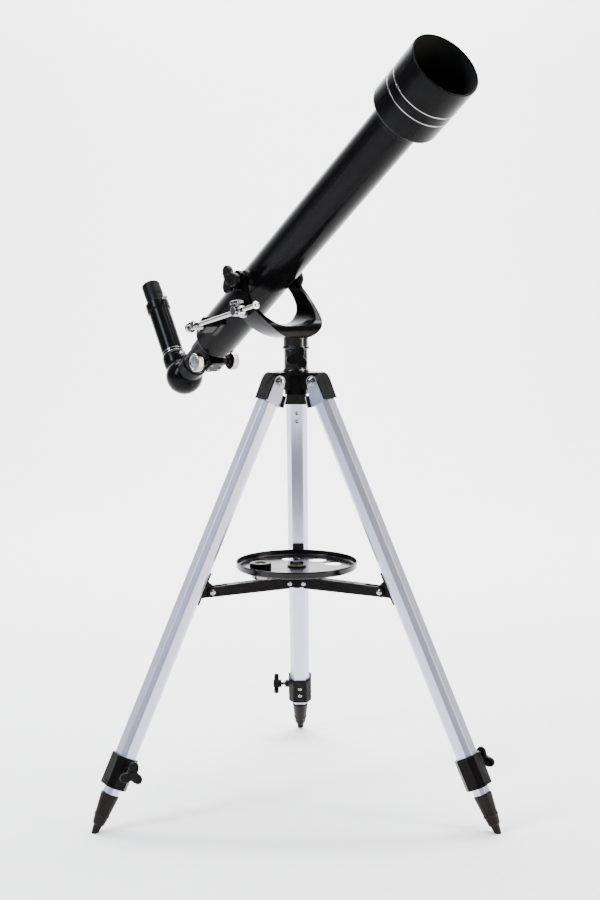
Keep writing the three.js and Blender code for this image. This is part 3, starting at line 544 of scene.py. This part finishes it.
RIGHT = FORK @ shift(TRUNNION_X, 0, TRUNNION_Z)
LEFT = RIGHT @ spin(180, "X")
knob = Shape().lobes(20.4, 11, 53.5, 61)
knob.lathe("y", [(46.8, 0), (46.8, 5.5), (50, 5), (54, 6.5), (54, 0)], ease=0.6)
knob.lathe("y", [(60.5, 0), (60.5, 7.5), (62, 6.8), (62.4, 4.6), (62.4, 0)], ease=0.5)
piece("tilt_grip_left", knob, LEFT, "altitude_knob_left", plastic, ["altitude_knob_left"])
stud = Shape().lathe("y", [(37.5, 0), (37.5, 4), (47, 4), (47, 0)])
piece("tilt_stud_left", stud, LEFT, "altitude_knob_left", chrome)
knob = Shape().lathe("y", [(48.2, 0), (48.2, 10.6), (49.2, 12), (53.4, 12), (54.8, 10.4), (55, 5.6),
                           (56.6, 5), (56.6, 0)], segments=144, ease=0.6, ripple=(18, 0.9, 11))
piece("tilt_grip_right", knob, RIGHT, "altitude_knob_right", plastic, ["altitude_knob_right"])
washer = Shape().lathe("y", [(46.6, 0), (46.6, 9.4), (48, 9.4), (48.3, 8.6), (48.3, 0)])
piece("tilt_washer_right", washer, RIGHT, "altitude_knob_right", chrome)

# ---- optical tube -------------------------------------------------------------------
TUBE_RADIUS, TUBE_WALL = 30, 1.2
TUBE_BACK, TUBE_FRONT = -148.5, 343
DEW_RADIUS = 44.7
LENS_RADIUS = 30.6
HANDS = ((-1, "left"), (1, "right"))


def lens_profile(start, back, end, front):
    """A lens from start to end at its rim, its faces bulging by back and front in the middle."""
    steps = [i / 6 for i in range(7)]
    rear = [(start - back * (1 - t * t), LENS_RADIUS * t) for t in steps]
    fore = [(end + front * (1 - t * t), LENS_RADIUS * t) for t in reversed(steps)]
    return rear + fore


barrel = Shape().lathe("x", [(TUBE_BACK, TUBE_RADIUS - TUBE_WALL), (TUBE_BACK, TUBE_RADIUS),
                             (TUBE_FRONT, TUBE_RADIUS), (TUBE_FRONT, TUBE_RADIUS - TUBE_WALL)],
                       segments=128, ease=0.3)
piece("tube_barrel", barrel, TUBE, "tube", gloss_black, ["main_tube"])
cup = Shape().lathe("x", [(331, 30.2), (331, 32.4), (340, 32.8), (342, 34.5), (342.5, 41), (344.5, 43.9),
                          (347, DEW_RADIUS), (429, DEW_RADIUS), (429.7, 44.1), (429.7, 43.1),
                          (349, 43.1), (346, 41.4), (344.7, 36), (342.5, 30.3)],
                    segments=144, ease=0.5)
piece("dew_cup", cup, TUBE, "tube", gloss_black, ["dew_shield"])
lining = Shape().lathe("x", [(350, 42.6), (350, 43.2), (427.5, 43.2), (427.5, 42.6)], segments=128,
                       ease=0.1)
piece("dew_lining", lining, TUBE, "tube", flocked)
for i, along in enumerate((376, 390)):
    low, high = along - 0.7, along + 0.7
    ring = Shape().lathe("x", [(low, DEW_RADIUS - 0.5), (low, DEW_RADIUS + 0.3),
                               (high, DEW_RADIUS + 0.3), (high, DEW_RADIUS - 0.5)],
                         segments=144, ease=0.3)
    piece(f"dew_ring_{i}", ring, TUBE, "tube", silver_band)
cell = Shape().lathe("x", [(325, 26.5), (325, 28.5), (343.3, 28.5), (343.3, 31), (351, 36), (382, 36),
                           (382, 29.2), (378, 29.2), (377.5, 31.2), (363.7, 31.2), (363.7, 28.5),
                           (352, 27.5)], segments=96)
piece("lens_cell", cell, TUBE, "tube", flocked, ["objective_cell"])
for name, node, sizes in (("lens_rear", "flint_lens", (364, 0.4, 368.4, -1.6)),
                          ("lens_front", "crown_lens", (368.8, 1.2, 374.8, 1.6))):
    lens = Shape().lathe("x", lens_profile(*sizes), segments=96, ease=0.0)
    piece(name, lens, TUBE, "tube", glass, [node])
baffle = Shape().lathe("x", [(118, 19), (118, 28.5), (126, 28.5), (126, 27.6), (119, 27.6), (119, 19)])
piece("baffle", baffle, TUBE, "tube", flocked, ["tube_baffle"])
boss = [(26, 0), (26, 13), (34.5, 12.4), (36.5, 11), (36.8, 8), (41.2, 8), (41.2, 0)]
for sign, word in HANDS:
    piece(f"pivot_boss_{word}", Shape().lathe("y", mirrored(boss, sign), ease=0.8), TUBE, "tube", plastic,
          [f"trunnion_boss_{word}"])

# ---- focuser ------------------------------------------------------------------------
PINION = (-171, 0, -24.5)

neck = Shape().lathe("x", [(-132.5, 17.7), (-132.5, 28.5), (-148.8, 28.5), (-148.8, 29.8), (-152.5, 29.4),
                           (-157.5, 22), (-163, 20.4), (-190, 19.4), (-192, 18.6), (-192, 17.7)],
                     segments=96, ease=0.9)
piece("focuser_neck", neck, TUBE, "tube", plastic, ["focuser_body"])
housing = Shape().prism("xy", [(-184, -11), (-182, -13), (-167, -13), (-165, -11), (-165, 11),
                               (-167, 13), (-182, 13), (-184, 11)], -30.4, -17.8)
housing.lathe("y", [(-18, 0), (-18, 5.6), (18, 5.6), (18, 0)], PINION, 48)
piece("pinion_housing", housing, TUBE, "tube", plastic, (), 0.8)
keep("pinion_cover", plastic, 0.3)
for i, (x, y) in enumerate(((-180, -8), (-169, -8), (-180, 8), (-169, 8))):
    screw_head(f"cover_screw_{i}", TUBE, "tube", (x, y, -32.3), "z", 1.8, 0.9)
for i, angle in enumerate((70, 190, 310)):
    head = Shape().lathe("z", [(29.6, 0), (29.6, 2.4), (30.6, 2.2), (31.1, 1.2), (31.2, 0)], segments=32,
                         ease=0.3)
    piece(f"tube_screw_{i}", head, TUBE @ spin(angle, "X") @ shift(-141, 0, 0), "tube", chrome)
barrel = Shape().lathe("x", [(-216, 15.9), (-216, 17.4), (-60, 17.4), (-60, 15.9)], segments=96)
piece("draw_barrel", barrel, TUBE, "drawtube", gloss_black, ["drawtube"])
keep("rack", plastic, 0.1)
keep("pinion_shaft", brass, 0.1)

grip = [(20.4, 0), (20.4, 6), (24.4, 6.4), (25, 11.9), (25.9, 12.8), (33.6, 12.8), (34.6, 11.8),
        (34.6, 9.9), (33.4, 9.3), (33.4, 0)]
face = [(33.2, 0), (33.2, 9.2), (33.8, 9.2), (33.9, 3.6), (34.3, 3.2), (34.3, 0)]
hub = [(20, 2.6), (20, 6.6), (24.2, 7), (24.6, 11.6), (25.4, 11.6), (25.4, 2.6)]
for sign, word in HANDS:
    disc = Shape().lathe("y", mirrored(grip, sign), PINION, 288, 0.4, (72, 0.3, 12))
    piece(f"focus_grip_{word}", disc, TUBE, "focus_knobs", chrome, [f"focus_knob_{word}"])
    disc = Shape().lathe("y", mirrored(face, sign), PINION, 72, 0.2)
    piece(f"focus_face_{word}", disc, TUBE, "focus_knobs", turned_steel)
    disc = Shape().lathe("y", mirrored(hub, sign), PINION, 72, 0.4)
    piece(f"focus_hub_{word}", disc, TUBE, "focus_knobs", plastic)

# ---- diagonal, erecting tube, eyepiece ----------------------------------------------
BALL_RADIUS = 26.7
BALL = (-251.4, 0, 0)
ERECTOR_X = -260.4
ERECTOR = (ERECTOR_X, 0, 0)

ball = [(BALL_RADIUS * math.cos(math.radians(a)), BALL_RADIUS * math.sin(math.radians(a)))
        for a in range(175, 0, -5)]
body = Shape().lathe("x", [(-BALL_RADIUS, 0)] + ball + [(BALL_RADIUS, 0)], BALL, 96, 0.0)
body.lathe("x", [(0, 0), (0, 19), (33.2, 19), (35.1, 18.4), (35.1, 15.6), (57, 15.6), (57, 0)],
           BALL, 96, 0.5)
body.lathe("z", [(0, 0), (0, 17), (22, 17), (25, 18), (35.7, 18), (35.7, 12.4), (30, 12.4), (30, 0)],
           ERECTOR, 96, 0.6)
piece("diagonal_ball", body, EYE_END, "diagonal", gloss_black, ["diagonal_body"])
keep("diagonal_mirror", mirror, 0.0)
screw = Shape().lathe("x", [(12.6, 0), (12.6, 2.2), (18.6, 2.2), (18.6, 4.4), (22.6, 4.4), (22.6, 0)],
                      (ERECTOR_X, 0, 31), 96, 0.4, (16, 0.5, 4.2))
piece("diagonal_thumbscrew", screw, EYE_END, "diagonal_screw", chrome, ["diagonal_screw"])

body = Shape().lathe("z", [(16, 10.8), (16, 12.1), (36, 12.1), (36, 17.6), (39.5, 17.6), (41.5, 16),
                           (44, 15.8), (117, 15.8), (118.2, 17.6), (130.4, 17.6), (131, 17),
                           (131, 12.4), (105, 12.4), (105, 10.8)], ERECTOR, 96, 0.6)
piece("erector_barrel", body, EYE_END, "erecting_tube", gloss_black, ["erecting_tube"])
for i, z in enumerate((42.6, 46.2)):
    ring = Shape().lathe("z", [(z, 15), (z, 16.1), (z + 1, 16.1), (z + 1, 15)], ERECTOR, 96, 0.25)
    piece(f"erector_ring_{i}", ring, EYE_END, "erecting_tube", chrome)
keep("erecting_lens", glass, 0.0)

body = Shape().lathe("z", [(131.3, 10.4), (131.3, 13.6), (143, 13.6), (144, 14), (163.5, 13.8),
                           (165, 12.6), (165, 10), (162, 7)], ERECTOR, 144, 0.5, (48, 0.35, 13.7))
body.lathe("z", [(107, 10.4), (107, 12.1), (131.4, 12.1), (131.4, 10.4)], ERECTOR)
piece("eyepiece_body", body, EYE_END, "eyepiece", plastic, ["eyepiece"])
lens = Shape().lathe("z", [(158, 0), (158, 9.8), (160, 9.6), (161.8, 5), (162.2, 0)], ERECTOR, ease=0.8)
piece("eyepiece_glass", lens, EYE_END, "eyepiece", eye_glass)
screw = Shape().lathe("x", [(12.6, 0), (12.6, 1.6), (22, 1.6), (22, 3.3), (28, 3.3), (28, 0)],
                      (ERECTOR_X, 0, 126), 96, 0.4, (14, 0.4, 3.1))
piece("eyepiece_thumbscrew", screw, EYE_END, "eyepiece_screw", chrome, ["eyepiece_screw"])

# ---- slow-motion rod ----------------------------------------------------------------
keep("rod_bracket", plastic, 0.8)
stud = Shape().lathe("y", [(-8.4, 0), (-8.4, 4.6), (-7, 6.4), (6.9, 6.4), (7.6, 5.8), (7.6, 2.6),
                           (22, 2.6), (22, 0)], ease=0.6)
piece("rod_stud", stud, ROD, "rod", chrome, ["rod_swivel"])
bar = Shape().lathe("x", [(-26, 0), (-25.6, 3.2), (-24.2, 5.2), (-22, 6.4), (-16, 6.6), (-16, 7.4),
                          (-14.5, 7.4), (-14.5, 3.1), (143, 3.1), (143, 5.2), (144.6, 5.2),
                          (144.6, 2.6), (147, 2.2), (147, 0)], segments=64, ease=0.4)
piece("rod_bar", bar, ROD, "rod", chrome, ["slow_motion_rod"])
block = Shape().lathe("y", [(-8.5, 0), (-8.5, 6.4), (4, 6.4), (5, 8.6), (10.2, 8.6), (10.2, 0)],
                      ease=0.6)
block.lathe("x", [(-7, 3.2), (-7, 5.6), (11, 5.6), (11, 3.2)], ease=0.5)
piece("clamp_block", block, CLAMP, "rod_clamp", chrome, ["rod_clamp"])
nut = Shape().lathe("z", [(3.5, 0), (3.5, 1.7), (8.9, 1.7), (8.9, 9.3), (13, 9.3), (13.8, 8.4), (13.8, 0)],
                    segments=128, ease=0.5, ripple=(32, 0.5, 9))
piece("clamp_nut", nut, CLAMP, "rod_clamp_screw", chrome, ["rod_clamp_screw"])

# ---- stage, light and camera --------------------------------------------------------
# In metres. A wide pale floor that curves up into a wall behind the object.
HALF_WIDTH, NEAR_EDGE, WALL, WALL_TOP, SWEEP_RADIUS = 8.0, -8.0, 3.6, 6.0, 1.4
BEND = WALL - SWEEP_RADIUS

sweep = [(NEAR_EDGE, 0.0)] + arc((BEND, SWEEP_RADIUS), SWEEP_RADIUS, -90, 0, 24) + [(WALL, WALL_TOP)]
backdrop = bmesh.new()
rows = [[backdrop.verts.new((x, y, z)) for y, z in sweep] for x in (-HALF_WIDTH, HALF_WIDTH)]
for i in range(len(sweep) - 1):
    backdrop.faces.new((rows[0][i], rows[1][i], rows[1][i + 1], rows[0][i + 1]))
mesh = bpy.data.meshes.new("floor")
backdrop.to_mesh(mesh)
backdrop.free()
floor = bpy.data.objects.new("floor", mesh)
bpy.context.scene.collection.objects.link(floor)
mesh.shade_smooth()
mesh.materials.append(finish("pale_floor", (0.93, 0.93, 0.93), 0.8, swing=0.03, tint=0.01, patch=3,
                             grain=60, bump=0.0))

world = bpy.data.worlds.new("studio")
bpy.context.scene.world = world
world.use_nodes = True
world.node_tree.nodes["Background"].inputs["Color"].default_value = (0.9, 0.94, 1.0, 1)
world.node_tree.nodes["Background"].inputs["Strength"].default_value = 0.3


def lamp(name, at, aim, size, power, color=(1, 1, 1)):
    light = bpy.data.lights.new(name, "AREA")
    light.shape = "RECTANGLE"
    light.size, light.size_y = size
    light.energy = power
    light.color = color
    made = bpy.data.objects.new(name, light)
    made.location = at
    made.rotation_euler = (Vector(aim) - Vector(at)).to_track_quat("-Z", "Y").to_euler()
    bpy.context.scene.collection.objects.link(made)


lamp("key", (-1.9, -1.2, 2.0), (0, 0, 0.6), (0.5, 1.8), 95, (0.8, 0.88, 1.0))
lamp("fill", (2.1, -0.9, 1.0), (0, 0, 0.5), (0.6, 1.8), 50, (1.0, 0.9, 0.82))
lamp("top", (0, 0.6, 3.0), (0, 0.4, 0.3), (2.6, 2.6), 140)
lamp("backdrop", (0, 1.2, 3.6), (0, 3.6, 1.0), (5.0, 0.8), 560)

# The camera stands in front of the post, level with the fork, and looks slightly down.
CAMERA_FROM_POST = (0.031864, -1.96317, 0.7059)
HEADING, LOOK_DOWN, ROLL = 0.786, 6.933, -0.228
camera = bpy.data.objects.new("camera", bpy.data.cameras.new("camera"))
camera.data.lens = 60.1
camera.data.sensor_width = 36
camera.matrix_world = (GROUND @ Matrix.Translation(CAMERA_FROM_POST) @ spin(HEADING, "Z")
                       @ spin(90 - LOOK_DOWN, "X") @ spin(ROLL, "Z"))
bpy.context.scene.collection.objects.link(camera)
bpy.context.scene.camera = camera

bpy.context.view_layer.update()
